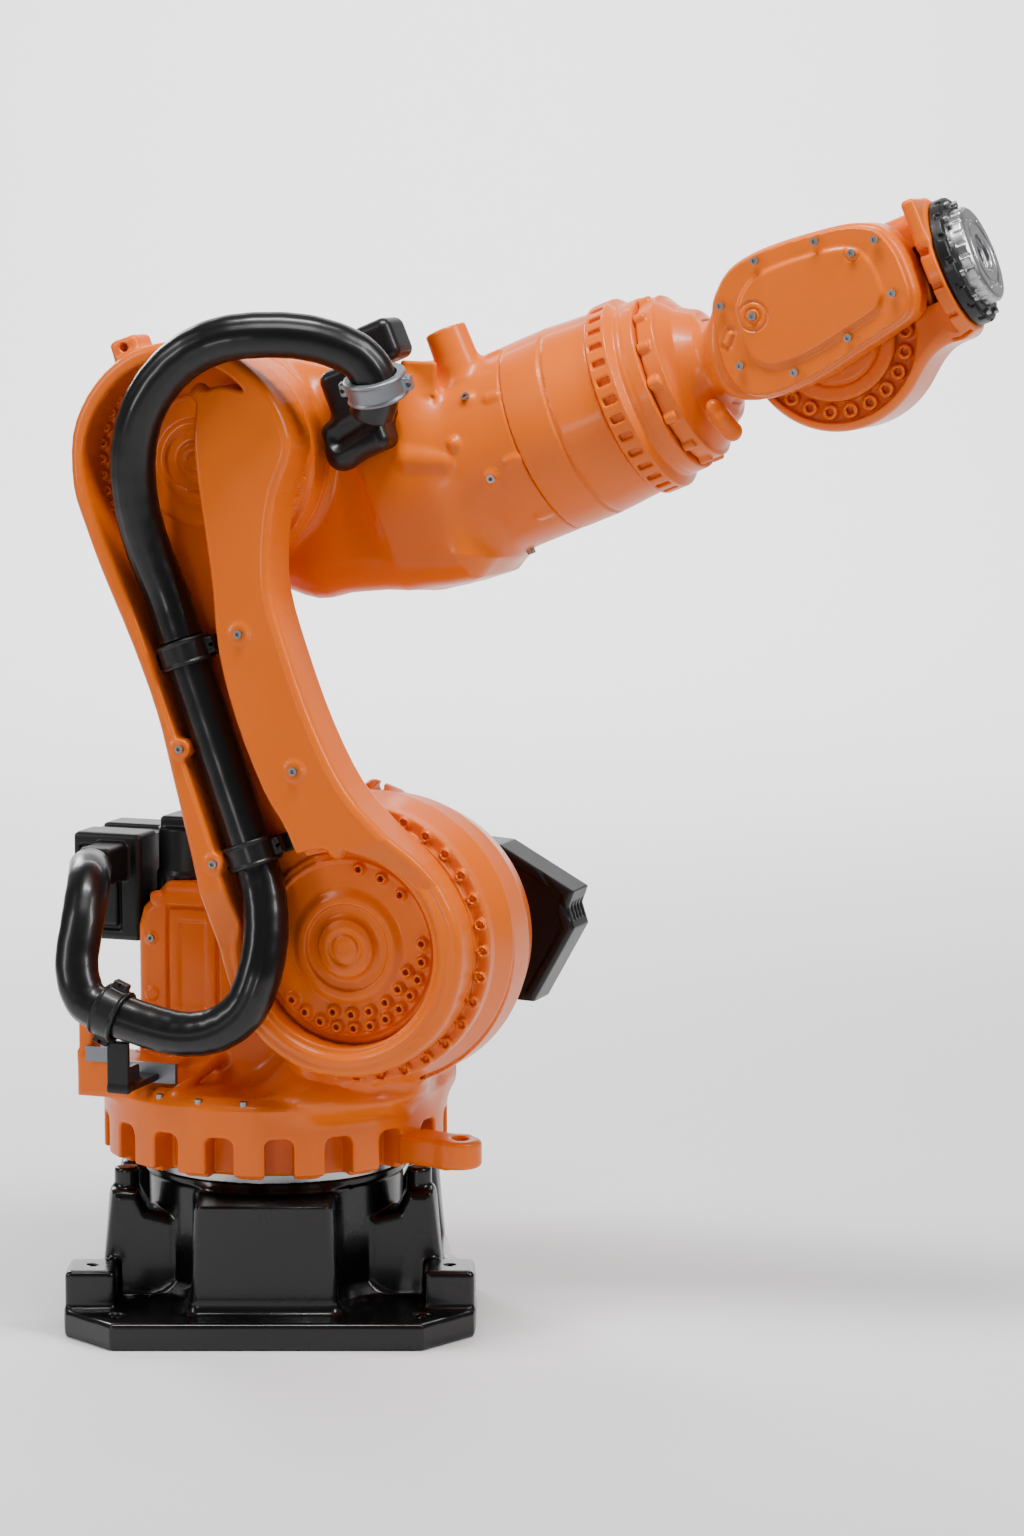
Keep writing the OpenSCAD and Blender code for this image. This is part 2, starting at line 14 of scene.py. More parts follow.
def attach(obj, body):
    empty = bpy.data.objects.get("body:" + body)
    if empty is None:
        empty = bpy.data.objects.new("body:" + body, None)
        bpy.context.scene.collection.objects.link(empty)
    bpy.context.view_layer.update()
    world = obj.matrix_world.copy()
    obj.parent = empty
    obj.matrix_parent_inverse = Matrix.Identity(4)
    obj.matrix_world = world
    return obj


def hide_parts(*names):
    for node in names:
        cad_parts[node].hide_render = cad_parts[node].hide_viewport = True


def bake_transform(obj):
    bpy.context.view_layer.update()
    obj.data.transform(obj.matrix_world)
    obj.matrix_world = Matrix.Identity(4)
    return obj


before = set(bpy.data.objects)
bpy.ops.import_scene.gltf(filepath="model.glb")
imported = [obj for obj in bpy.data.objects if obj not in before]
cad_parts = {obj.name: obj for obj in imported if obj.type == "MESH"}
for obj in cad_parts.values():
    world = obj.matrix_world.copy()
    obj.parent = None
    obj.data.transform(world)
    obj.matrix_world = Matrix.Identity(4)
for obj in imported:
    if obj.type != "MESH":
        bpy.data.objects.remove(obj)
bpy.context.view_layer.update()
MM = 0.001

# ---------------------------------------------------------------- camera
LENS_MM = 103.8
camera_data = bpy.data.cameras.new("camera")
camera_data.lens = LENS_MM
camera_data.sensor_width = 36.0
camera_data.clip_end = 100.0
camera = bpy.data.objects.new("camera", camera_data)
camera.location = (0.634, -11.684, 2.990)
camera.rotation_euler = (math.radians(90.0) - 0.131, 0.0, 0.0)
bpy.context.scene.collection.objects.link(camera)
bpy.context.scene.camera = camera

# ---------------------------------------------------------------- places
ARM_TURN = 20.0
A2_X = 387.0
A2_Z = 1060.0
LINK_LEN = 1300.0
LINK_LEAN = 18.4
ARM_PITCH = 22.5
ELBOW_DROP = 253.0
WRIST_S = 1555.0
HOSE_R = 59.0


def turn(degrees, axis):
    return Matrix.Rotation(math.radians(degrees), 4, axis)


def shift(x, y, z):
    return Matrix.Translation((x, y, z))


ROW = Matrix.Identity(4)
ARM = turn(-ARM_TURN, "Z")
SHOULDER = ARM @ shift(A2_X, 0, A2_Z) @ turn(-LINK_LEAN, "Y")
A3_X = A2_X - LINK_LEN * math.sin(math.radians(LINK_LEAN))
A3_Z = A2_Z + LINK_LEN * math.cos(math.radians(LINK_LEAN))
ELBOW = ARM @ shift(A3_X, 0, A3_Z) @ turn(-ARM_PITCH, "Y")
ROLL = ELBOW @ shift(0, 0, -ELBOW_DROP)
TILT = ROLL @ shift(WRIST_S, 0, 0)

# ---------------------------------------------------------------- distance functions


def rounded(a, b, edge):
    """Where two distances overlap, with the edge between them rounded."""
    corner = np.hypot(np.maximum(a + edge, 0), np.maximum(b + edge, 0)) - edge
    return np.where((a > -edge) & (b > -edge), corner, np.maximum(a, b))


def split(axis, x, y, z):
    """The two coordinates across an axis, then the one along it."""
    if axis == "x":
        return y, z, x
    if axis == "y":
        return x, z, y
    return x, y, z


def drum(axis, centre, radius, low, high, edge=5.0):
    def distance(x, y, z):
        u, v, w = split(axis, x, y, z)
        side = np.hypot(u - centre[0], v - centre[1]) - radius
        return rounded(side, np.maximum(low - w, w - high), edge)
    return distance


def lathe(axis, centre, profile, edge=5.0):
    """A turned solid: profile is a list of (place along the axis, radius)."""
    along = [p[0] for p in profile]
    radii = [p[1] for p in profile]

    def distance(x, y, z):
        u, v, w = split(axis, x, y, z)
        side = np.hypot(u - centre[0], v - centre[1]) - np.interp(w, along, radii)
        return rounded(side, np.maximum(along[0] - w, w - along[-1]), edge)
    return distance


def block(low, high, edge=5.0, tilt=None):
    """A box with rounded edges. tilt turns it about its own centre."""
    middle = [(a + b) / 2 for a, b in zip(low, high)]
    half = [(b - a) / 2 - edge for a, b in zip(low, high)]
    back = tilt.to_3x3().transposed() if tilt else None

    def distance(x, y, z):
        px, py, pz = x - middle[0], y - middle[1], z - middle[2]
        if back:
            px, py, pz = [row[0] * px + row[1] * py + row[2] * pz for row in back]
        qx, qy, qz = abs(px) - half[0], abs(py) - half[1], abs(pz) - half[2]
        outer = np.sqrt(np.maximum(qx, 0) ** 2 + np.maximum(qy, 0) ** 2 + np.maximum(qz, 0) ** 2)
        return outer + np.minimum(np.maximum(qx, np.maximum(qy, qz)), 0) - edge
    return distance


def rod(a, b, radius, end_radius=None):
    """A round-ended bar from a to b, its radius changing evenly along it."""
    a, b = Vector(a), Vector(b)
    run = b - a
    grow = (radius if end_radius is None else end_radius) - radius

    def distance(x, y, z):
        px, py, pz = x - a[0], y - a[1], z - a[2]
        t = np.clip((px * run[0] + py * run[1] + pz * run[2]) / run.length_squared, 0, 1)
        gap = np.sqrt((px - t * run[0]) ** 2 + (py - t * run[1]) ** 2 + (pz - t * run[2]) ** 2)
        return gap - radius - grow * t
    return distance


def hoop(axis, centre, big, place, small):
    """A ring of round section."""
    def distance(x, y, z):
        u, v, w = split(axis, x, y, z)
        return np.hypot(np.hypot(u - centre[0], v - centre[1]) - big, w - place) - small
    return distance


def flow(points, steps=5, closed=True):
    """A smooth line through points."""
    points = [np.array(p, float) for p in points]
    count = len(points)
    line = []
    for i in range(count if closed else count - 1):
        if closed:
            a, b, c, d = [points[(i + k) % count] for k in (-1, 0, 1, 2)]
        else:
            a, b, c, d = [points[min(max(i + k, 0), count - 1)] for k in (-1, 0, 1, 2)]
        for k in range(steps):
            t = k / steps
            line.append(0.5 * (2 * b + (c - a) * t + (2 * a - 5 * b + 4 * c - d) * t * t
                               + (3 * b - 3 * c + d - a) * t ** 3))
    if not closed:
        line.append(points[-1])
    return line


def outline_distance(line, u, v):
    best = None
    inside = False
    for a, b in zip(line, line[1:] + line[:1]):
        ex, ey = b[0] - a[0], b[1] - a[1]
        wx, wy = u - a[0], v - a[1]
        t = np.clip((wx * ex + wy * ey) / max(ex * ex + ey * ey, 1e-9), 0, 1)
        gap = (wx - ex * t) ** 2 + (wy - ey * t) ** 2
        best = gap if best is None else np.minimum(best, gap)
        crosses = ((a[1] <= v) & (b[1] > v)) | ((a[1] > v) & (b[1] <= v))
        inside = inside ^ (crosses & ((ex * wy - ey * wx) * (1 if ey > 0 else -1) > 0))
    best = np.sqrt(best)
    return np.where(inside, -best, best)


def plate(axis, line, low, high, edge=8.0):
    """An outline pushed along an axis. low and high are numbers, or functions of the outline's v."""
    line = [tuple(p) for p in line]

    def distance(x, y, z):
        u, v, w = split(axis, x, y, z)
        floor = low(v) if callable(low) else low
        roof = high(v) if callable(high) else high
        return rounded(outline_distance(line, u, v), np.maximum(floor - w, w - roof), edge)
    return distance


def fold(axis, centre, count, shape, start=0.0):
    """Repeats a shape round an axis. The shape is drawn on the first direction across the axis."""
    step = 2 * math.pi / count

    def distance(x, y, z):
        u, v, w = split(axis, x, y, z)
        u, v = u - centre[0], v - centre[1]
        angle = np.arctan2(v, u) - math.radians(start)
        angle = angle - step * np.round(angle / step)
        radius = np.hypot(u, v)
        u, v = radius * np.cos(angle), radius * np.sin(angle)
        if axis == "x":
            return shape(w, u, v)
        if axis == "y":
            return shape(u, w, v)
        return shape(u, v, w)
    return distance


class Clay:
    """A solid made of smooth unions and cuts, each worked only near where it matters."""

    def __init__(self):
        self.steps = []

    def add(self, shape, blend=0.0, near=None):
        self.steps.append((1, shape, blend, near))
        return self

    def cut(self, shape, blend=0.0, near=None):
        self.steps.append((-1, shape, blend, near))
        return self

    @staticmethod
    def join(sign, old, new, blend):
        a, b = sign * old, new
        mixed = np.minimum(a, b)
        if blend:
            over = np.maximum(blend - abs(a - b), 0) / blend
            mixed = mixed - over * over * blend / 4
        return sign * mixed

    def grid(self, axes):
        """Distances on a grid. A near entry is a low and a high corner."""
        whole = [slice(None)] * 3
        field = np.full([len(a) for a in axes], 1e4, np.float32)
        for sign, shape, blend, near in self.steps:
            part = whole
            if near:
                ends = [np.searchsorted(a, [lo - blend, hi + blend])
                        for a, lo, hi in zip(axes, near[0], near[1])]
                part = [slice(*e) for e in ends]
                if any(e[0] == e[1] for e in ends):
                    continue
            x, y, z = [a[s] for a, s in zip(axes, part)]
            new = shape(x[:, None, None], y[None, :, None], z[None, None, :])
            part = tuple(part)
            field[part] = self.join(sign, field[part], new, blend)
        return field

    def at(self, points):
        field = np.full(len(points), 1e4)
        for sign, shape, blend, near in self.steps:
            if near:
                keep = np.ones(len(points), bool)
                for k in range(3):
                    keep &= (points[:, k] > near[0][k] - blend) & (points[:, k] < near[1][k] + blend)
                if keep.any():
                    part = points[keep]
                    new = shape(part[:, 0], part[:, 1], part[:, 2])
                    field[keep] = self.join(sign, field[keep], new, blend)
            else:
                new = shape(points[:, 0], points[:, 1], points[:, 2])
                field = self.join(sign, field, new, blend)
        return field

    def slope(self, points, reach):
        columns = []
        for k in range(3):
            step = np.zeros(3)
            step[k] = reach
            columns.append((self.at(points + step) - self.at(points - step)) / (2 * reach))
        return np.stack(columns, 1)


COARSE = 1.0


def cast(name, clay, place, low, high, cell, finish, body, replaced=()):
    """Meshes a clay solid inside low..high and hangs it on a body."""
    cell = cell * COARSE
    axes = [np.arange(lo - 2 * cell, hi + 3 * cell, cell) for lo, hi in zip(low, high)]
    field = np.ascontiguousarray(clay.grid(axes), dtype=np.float32)
    volume = openvdb.FloatGrid()
    volume.background = float(cell * 4)
    volume.copyFromArray(np.clip(field, -cell * 4, cell * 4))
    points, quads = volume.convertToQuads(isovalue=0.0)
    points = points.astype(float) * cell + np.array([a[0] for a in axes])
    for _ in range(2):
        slope = clay.slope(points, cell * 0.25)
        size = np.maximum((slope ** 2).sum(1, keepdims=True), 0.2)
        move = -slope * clay.at(points)[:, None] / size
        length = np.maximum(np.linalg.norm(move, axis=1, keepdims=True), 1e-9)
        points = points + move * np.minimum(1.0, cell * 0.4 / length)
    slope = clay.slope(points, cell * 0.3)
    normals = slope / np.maximum(np.linalg.norm(slope, axis=1, keepdims=True), 1e-9)
    matrix = np.array(place)
    points = (points @ matrix[:3, :3].T + matrix[:3, 3]) * MM
    normals = normals @ matrix[:3, :3].T
    mesh = bpy.data.meshes.new(name)
    mesh.from_pydata(points.tolist(), [], quads.tolist())
    mesh.shade_smooth()
    mesh.normals_split_custom_set_from_vertices(normals.tolist())
    return hang(name, mesh, finish, body, replaced)


def hang(name, mesh, finish, body, replaced=()):
    piece = bpy.data.objects.new(name, mesh)
    bpy.context.scene.collection.objects.link(piece)
    mesh.materials.append(finish)
    if body:
        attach(piece, body)
    if replaced:
        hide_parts(*replaced)
    return piece

# ---------------------------------------------------------------- finishes


def finish_of(name, colour, rough, metal=0.0, coat=0.0, bump=0.1, bump_scale=900.0, worn=0.5, spread=0.08,
              shine=0.3):
    """A procedural finish: uneven colour, uneven gloss, fine relief and grime in patches."""
    material = bpy.data.materials.new(name)
    material.use_nodes = True
    tree = material.node_tree
    shader = tree.nodes["Principled BSDF"]
    place = tree.nodes.new("ShaderNodeTexCoord")
    broad = tree.nodes.new("ShaderNodeTexNoise")
    broad.inputs["Scale"].default_value = 3.5
    broad.inputs["Detail"].default_value = 7.0
    fine = tree.nodes.new("ShaderNodeTexNoise")
    fine.inputs["Scale"].default_value = bump_scale
    fine.inputs["Detail"].default_value = 3.0
    tree.links.new(place.outputs["Object"], broad.inputs["Vector"])
    tree.links.new(place.outputs["Object"], fine.inputs["Vector"])
    tint = tree.nodes.new("ShaderNodeMix")
    tint.data_type = "RGBA"
    tint.inputs["A"].default_value = [*[c * (1 - spread) for c in colour], 1]
    tint.inputs["B"].default_value = [*[min(c * (1 + spread), 1) for c in colour], 1]
    tree.links.new(broad.outputs["Fac"], tint.inputs["Factor"])
    tree.links.new(tint.outputs["Result"], shader.inputs["Base Color"])
    gloss = tree.nodes.new("ShaderNodeMapRange")
    gloss.inputs["From Min"].default_value = 0.3
    gloss.inputs["From Max"].default_value = 0.75
    gloss.inputs["To Min"].default_value = rough
    gloss.inputs["To Max"].default_value = rough + 0.18 * worn
    tree.links.new(broad.outputs["Fac"], gloss.inputs["Value"])
    tree.links.new(gloss.outputs["Result"], shader.inputs["Roughness"])
    relief = tree.nodes.new("ShaderNodeBump")
    relief.inputs["Strength"].default_value = bump
    relief.inputs["Distance"].default_value = 0.0006
    tree.links.new(fine.outputs["Fac"], relief.inputs["Height"])
    tree.links.new(relief.outputs["Normal"], shader.inputs["Normal"])
    shader.inputs["Metallic"].default_value = metal
    shader.inputs["Specular IOR Level"].default_value = shine
    shader.inputs["Coat Weight"].default_value = coat
    shader.inputs["Coat Roughness"].default_value = 0.10
    return material


ORANGE = finish_of("orange_enamel", (0.70, 0.120, 0.0002), 0.30, coat=0.12, bump=0.10, bump_scale=260.0,
                   shine=0.22)
BLACK = finish_of("black_enamel", (0.0025, 0.0026, 0.003), 0.22, coat=0.2, bump=0.15, bump_scale=220.0)
HOUSING = finish_of("motor_black", (0.004, 0.0042, 0.0046), 0.36, coat=0.1, bump=0.25, bump_scale=420.0)
RUBBER = finish_of("hose_cover", (0.003, 0.003, 0.0032), 0.27, coat=0.15, bump=0.1, bump_scale=300.0)
PLASTIC = finish_of("clamp_plastic", (0.005, 0.005, 0.0055), 0.34, coat=0.1, bump=0.2, bump_scale=500.0)
GREY = finish_of("grey_metal", (0.20, 0.21, 0.23), 0.36, metal=0.7, bump=0.3, bump_scale=350.0)
STEEL = finish_of("bright_steel", (0.42, 0.42, 0.43), 0.28, metal=1.0, bump=0.25, bump_scale=700.0)
ZINC = finish_of("zinc_screws", (0.30, 0.30, 0.30), 0.33, metal=1.0, bump=0.3, bump_scale=600.0)
FLOOR = finish_of("studio_floor", (0.86, 0.86, 0.86), 0.65, bump=0.05, bump_scale=60.0, spread=0.01)

# ---------------------------------------------------------------- base
FOOT = [(-536, -389), (-404, -536), (404, -536), (536, -389), (536, 60), (470, 250), (448, 480), (404, 536),
        (-404, 536), (-448, 480), (-470, 250), (-536, 60)]
base = Clay()
base.add(plate("z", FOOT, 0, 72, 12))
base.add(lathe("z", (0, 0), [(0, 356), (90, 350), (110, 341), (372, 341), (380, 352), (400, 352)], 5), 46)
RIB = [(250, 60), (425, 60), (448, 150), (436, 250), (424, 352), (356, 352), (330, 300), (250, 280)]
for side in (-1, 1):
    base.add(block([side * 470 - 66, -378, 10], [side * 470 + 66, -222, 172], 16), 16)
    for across in (-1, 1):
        rib = [(side * u, v) for u, v in RIB]
        base.add(plate("y", rib, across * 170 - 58, across * 170 + 58, 26), 14)
        base.add(rod((side * 398, across * 170, 330), (side * 385, across * 170, 90), 34, 60), 24)
        base.add(drum("z", (side * 388, across * 170), 33, 300, 408, 8), 8)
    base.cut(drum("z", (side * 470, -300), 12, 100, 200, 1), 2)
    for across in (-1, 1):
        base.cut(drum("z", (side * 400, across * 440), 13.5, -10, 200, 1), 3)
        base.cut(drum("z", (side * 400, across * 440), 30, 66, 200, 2), 3)


def apron(x, y, z):
    """The front panel: it leans back a little and narrows upwards."""
    front = (-(y + 434) + z * -0.16) * 0.987
    sides = np.maximum(-(x + 209) + z * 0.054, (x - 186) + z * 0.041)
    return rounded(np.maximum(front, z - 372), np.maximum(sides, y + 300), 22)


base.add(apron, 44)
base.cut(drum("z", (0, 0), 346, 400, 500, 2), 2)
base.cut(drum("z", (0, 0), 285, 40, 500, 6), 6)
base.cut(block([-120, 250, 150], [120, 470, 310], 10), 6)
base.cut(block([-540, -545, -60], [540, 545, 0], 0))
cast("base_shell", base, ROW, (-536, -541, 0), (536, 536, 408), 7.5, BLACK, "root", ["base_casting"])

# ---------------------------------------------------------------- column
SHOULDER_XZ = (A2_X, A2_Z)
HOUSING_XZ = (A2_X, A2_Z - 16)
SKIRT_R = 460.0
TRUNK = [(-314, 600), (-314, 1040), (-300, 1090), (-232, 1160), (90, 1165), (200, 1215), (300, 1290),
         (387, 1290), (477, 1100), (477, 760), (455, 680), (430, 600)]
column = Clay()
column.add(lathe("z", (0, 0), [(562, 460), (615, 460), (625, 452), (641, 425)], 5))
column.add(drum("z", (0, 0), SKIRT_R, 440, 600, 6))
column.cut(drum("z", (0, 0), 402, 400, 561, 5), 4)
column.add(drum("z", (0, 0), 430, 427, 570, 4), 4)
column.cut(drum("z", (0, 0), 362, 400, 561, 5), 4)


def window(x, y, z):
    arch = rounded(abs(y) - 38, z - 540, 22)
    return np.maximum(arch, np.maximum(384 - x, 430 - z))


WINDOWS = 18
WINDOW_START = 14.0
column.cut(fold("z", (0, 0), WINDOWS, window, start=WINDOW_START), 7, near=((-500, -500, 420), (500, 500, 560)))
column.add(plate("y", TRUNK, -205, 230, 34), 60)
column.add(drum("y", SHOULDER_XZ, 262, 2, 130, 20), 60)
column.add(drum("z", (A2_X - 95, -230), 150, 600, 672, 18), 50)
SHELF = [(-424, 600), (-424, 722), (-300, 700), (-130, 655), (-60, 600)]
column.add(plate("y", SHELF, -350, -190, 14), 26)
column.add(block([-420, -345, 690], [-376, -285, 805], 10), 10)
# the round gear case at the shoulder
column.add(drum("y", SHOULDER_XZ, 362, -367, -326, 6))
column.add(drum("y", SHOULDER_XZ, 328, -383, -340, 5), 5)
column.add(lathe("y", SHOULDER_XZ, [(-332, 362), (-250, 382), (-236, 382)], 5), 4)
column.add(lathe("y", HOUSING_XZ, [(-240, 378), (-120, 378), (1, 344)], 10), 6)
column.add(lathe("z", (A2_X - 100, -200), [(640, 210), (760, 120)], 16), 90)
column.cut(hoop("y", SHOULDER_XZ, 384, -236, 7), 3)
column.cut(hoop("y", HOUSING_XZ, 352, -6, 6), 4)
column.cut(drum("y", SHOULDER_XZ, 215, -400, -300, 3), 4)


def bolt_boss(x, y, z):
    wall = np.hypot(x - 345, z)
    boss = rounded(wall - 16, np.maximum(-384 - y, y + 355), 4)
    return np.maximum(boss, -rounded(wall - 8, y + 374, 1))


column.add(fold("y", SHOULDER_XZ, 32, bolt_boss), 5, near=((0, -400, 680), (760, -352, 1430)))
# lifting hook on top of the gear case
column.add(rod((330, -105, 1420), (388, -105, 1400), 30), 16, near=((270, -160, 1330), (450, -40, 1470)))
column.cut(rod((350, -150, 1428), (350, -60, 1428), 13), 6, near=((300, -180, 1380), (400, -30, 1470)))
# recessed panel on the near face
column.cut(block([-225, -215, 790], [-75, -196, 1100], 8), 6)
column.add(block([-218, -206, 798], [-82, -195, 1092], 6), 3)
column.cut(block([-192, -212, 828], [-108, -201, 1062], 8), 4)
for px, pz in ((-268, 1010), (-268, 860), (-255, 1120), (-60, 1130)):
    column.add(drum("y", (px, pz), 17, -209, -190, 3), 8)
# ribs that stiffen the trunk's foot
for angle in (-150, -128, -106):
    tip = (430 * math.cos(math.radians(angle)), 430 * math.sin(math.radians(angle)), 634)
    root = (250 * math.cos(math.radians(angle)), 205 * math.sin(math.radians(angle)), 700)
    column.add(rod(tip, root, 10, 16), 22)
column.cut(drum("z", (0, 0), 297, 400, 561, 3))
column.add(drum("z", (0, 0), 296, 445, 575, 2), 2)
column.cut(drum("z", (0, 0), 190, 400, 600, 2))
column.cut(drum("z", (0, 0), 95, 400, 1100, 3))
column.cut(drum("z", (-220, -60), 89, 1000, 1400, 2), 4)
column.cut(block([428, 130.5, 700], [628, 240, 1320], 3), 3)
cast("column_shell", column, ARM, (-461, -461, 427), (770, 460, 1458), 7.5, ORANGE, "column",
     ["column_casting", "a2_gear_housing", "a2_housing_screws", "gearbox_cover"])

lug = Clay()
lug.add(block([430, -60, 446], [610, 60, 520], 14))
lug.add(drum("z", (605, 0), 60, 446, 520, 14), 14)
lug.cut(drum("z", (608, 0), 22, 500, 540, 4), 6)
lug.cut(drum("z", (0, 0), 458, 400, 600, 1))
cast("end_stop", lug, ARM @ turn(-15, "Z"), (450, -62, 444), (668, 62, 522), 5, ORANGE, "column",
     ["stop_lug"])

motor = Clay()
MOTOR = [(430, 1265), (590, 1255), (798, 1140), (782, 1095), (799, 1040), (686, 838), (430, 850)]
motor.add(plate("y", MOTOR, 131, 265, 12))
motor.add(drum("y", (A2_X + 130, A2_Z - 10), 120, 240, 320, 12), 14)
MOTOR_RIM = [(u + (470 - u) * 0.10, v + (1060 - v) * 0.12) for u, v in MOTOR]
motor.cut(plate("y", MOTOR_RIM, 100, 143, 6), 6)
motor.add(plate("y", MOTOR_RIM, 141, 200, 6), 3)
motor.cut(rod((640, 131, 1290), (790, 131, 1070), 5), 6)
for k in range(4):
    motor.cut(block([690, 160 + 24 * k, 1060], [830, 168 + 24 * k, 1110], 3), 3)
cast("shoulder_motor", motor, ARM, (430, 131, 838), (799, 320, 1265), 6, HOUSING, "column", ["a2_motor"])

supply = Clay()
supply.add(block([-512, -170, 990], [-316, 130, 1278], 14))
supply.cut(block([-492, -180, 1018], [-372, -160, 1244], 8), 6)
supply.add(block([-482, -172, 1030], [-382, -150, 1232], 6), 3)
supply.add(block([-440, -290, 1155], [-350, -160, 1255], 14), 10)
supply.cut(block([-520, -60, 1268], [-300, 20, 1290], 4), 4)
for k in range(5):
    supply.cut(block([-520, -130 + 50 * k, 1030], [-502, -112 + 50 * k, 1240], 5), 3)
cast("supply_shell", supply, ARM, (-512, -290, 990), (-316, 130, 1278), 6, HOUSING, "column",
     ["supply_box"])

turner = Clay()
turner.add(lathe("z", (0, 0), [(0, 88), (170, 88), (180, 82), (290, 82), (295, 78)], 6))
turner.add(block([-60, -60, 280], [60, 60, 325], 10), 8)
turner.cut(fold("z", (0, 0), 24, block([86, -4, 20], [110, 4, 160], 2)), 3)
cast("turn_motor", turner, ARM @ shift(-220, -60, 1000), (-92, -92, 0), (92, 92, 325), 5, HOUSING, "column",
     ["a1_motor"])

# ---------------------------------------------------------------- link arm
LINK_SIDE = [(-300, -130), (-326, 0), (-314, 180), (-300, 330), (-282, 560), (-272, 718), (-280, 900),
             (-300, 1100), (-307, 1230), (-306, 1330), (-265, 1456), (-190, 1541), (-96, 1592), (0, 1607),
             (120, 1583), (218, 1517), (280, 1428), (306, 1330), (298, 1240), (226, 1150), (170, 1040),
             (132, 917), (127, 750), (136, 560), (166, 390), (226, 262), (292, 150), (328, 20),
             (318, -90), (270, -190), (170, -284), (0, -330), (-160, -289), (-250, -215)]
CHANNEL = [(-205, 60), (-229, 130), (-229, 340), (-233, 560), (-237, 718), (-242, 900), (-249, 1060),
           (-258, 1170), (-266, 1290), (-246, 1400), (-185, 1486), (-90, 1547), (0, 1562), (90, 1546),
           (178, 1490), (226, 1420), (170, 1450), (105, 1440), (60, 1350), (35, 1250), (12, 1120),
           (-14, 980), (-51, 820), (-62, 639), (-48, 448), (-20, 330), (-20, 200), (-100, 80)]


def link_rim(along):
    """The near rim stands further out towards the head."""
    return np.interp(along, [90, 240], [-500, -545])


link = Clay()
link.add(plate("y", flow(LINK_SIDE, 3), link_rim, -385, 22))
link.cut(plate("y", flow(CHANNEL, 3), -700, -420, 10), 12)
link.cut(drum("y", (0, 0), 253, -700, -420, 8), 12)
link.cut(drum("y", (0, 0), 268, -700, -492, 4), 8)
link.add(hoop("y", (0, 0), 284, -499, 8), 10, near=((-340, -520, -340), (340, -470, 120)))
# the broad rib that carries on from the front edge over the head
RIB_LINE = [(92, 250), (52, 420), (38, 600), (38, 780), (62, 920), (110, 1050), (140, 1180), (150, 1280),
            (140, 1380), (105, 1450)]
for a, b in zip(RIB_LINE, RIB_LINE[1:]):
    link.add(rod((a[0], -519, a[1]), (b[0], -519, b[1]), 26), 12,
             near=((min(a[0], b[0]) - 50, -545, a[1] - 50), (max(a[0], b[0]) + 50, -460, b[1] + 50)))
link.cut(block([-400, -700, -400], [400, -545, 1700], 0))
link.add(block([-110, -500, 1560], [-30, -400, 1650], 16), 20)
link.cut(rod((-70, -520, 1625), (-70, -380, 1625), 11), 4)
for px, pz in ((-232, 610), (-238, 305), (20, 842), (52, 470)):
    link.add(drum("y", (px, pz), 24, -545, -500, 5), 14)
link.cut(drum("y", (0, 0), 150, -450, -300, 2))
link.cut(drum("y", (0, LINK_LEN), 110, -450, -300, 2))


def rim_boss(x, y, z):
    wall = np.hypot(x - 262, z)
    boss = rounded(wall - 13, np.maximum(-440 - y, y + 410), 3)
    return np.maximum(boss, -rounded(wall - 6, y + 434, 1))


link.add(fold("y", (0, LINK_LEN), 40, rim_boss), 4, near=((-290, -445, 1100), (-60, -405, 1580)))
cast("link_shell", link, SHOULDER, (-330, -545, -332), (330, -385, 1650), 6.2, ORANGE, "link_arm",
     ["link_casting"])


def dish(bosses):
    """A hub cover: stepped rings round a middle dome, and drilled bosses."""
    cover = Clay()
    cover.add(lathe("y", (0, 0), [(-434, 244), (-428, 250), (-420, 250)], 3))
    cover.add(hoop("y", (0, 0), 226, -434, 5), 6)
    cover.add(lathe("y", (0, 0), [(-446, 132), (-434, 150)], 4), 8)
    cover.cut(drum("y", (0, 0), 112, -460, -438, 5), 6)
    cover.add(lathe("y", (0, 0), [(-457, 60), (-452, 74), (-436, 84)], 4), 10)
    cover.cut(hoop("y", (0, 0), 40, -458, 6), 5)
    cover.add(lathe("y", (0, 0), [(-458, 22), (-450, 30)], 3), 4)
    for angle, radius in bosses:
        place = (radius * math.cos(math.radians(angle)), -radius * math.sin(math.radians(angle)))
        near = ((place[0] - 30, -470, place[1] - 30), (place[0] + 30, -410, place[1] + 30))
        cover.add(lathe("y", place, [(-452, 13), (-434, 19)], 4), 6, near=near)
        cover.cut(drum("y", place, 7.5, -470, -428, 1), 2, near=near)
    cover.cut(block([-300, -480, -300], [300, -458, 300], 0))
    return cover


LOWER_BOSSES = [(a, 208) for a in range(12, 160, 13)] + [(a, 172) for a in range(36, 130, 17)]
LOWER_BOSSES = LOWER_BOSSES + [(a, 208) for a in (-62, -44, -26)]
cast("lower_hub_cover", dish(LOWER_BOSSES), SHOULDER, (-251, -458, -251), (251, -420, 251), 4.5, ORANGE,
     "link_arm",
     ["a2_hub_cover"])
upper = Clay()
upper.add(lathe("y", (0, 0), [(-432, 160), (-428, 167), (-420, 167)], 3))
upper.add(lathe("y", (0, 0), [(-444, 96), (-434, 108)], 4), 8)
upper.cut(drum("y", (0, 0), 80, -460, -438, 5), 6)
upper.add(lathe("y", (0, 0), [(-447, 44), (-438, 52)], 4), 8)
upper.cut(hoop("y", (0, 0), 24, -448, 4), 4)
cast("upper_hub_cover", upper, SHOULDER @ shift(0, 0, LINK_LEN), (-169, -448, -169), (169, -420, 169),
     4.5, ORANGE,
     "link_arm", ["a3_hub_cover"])

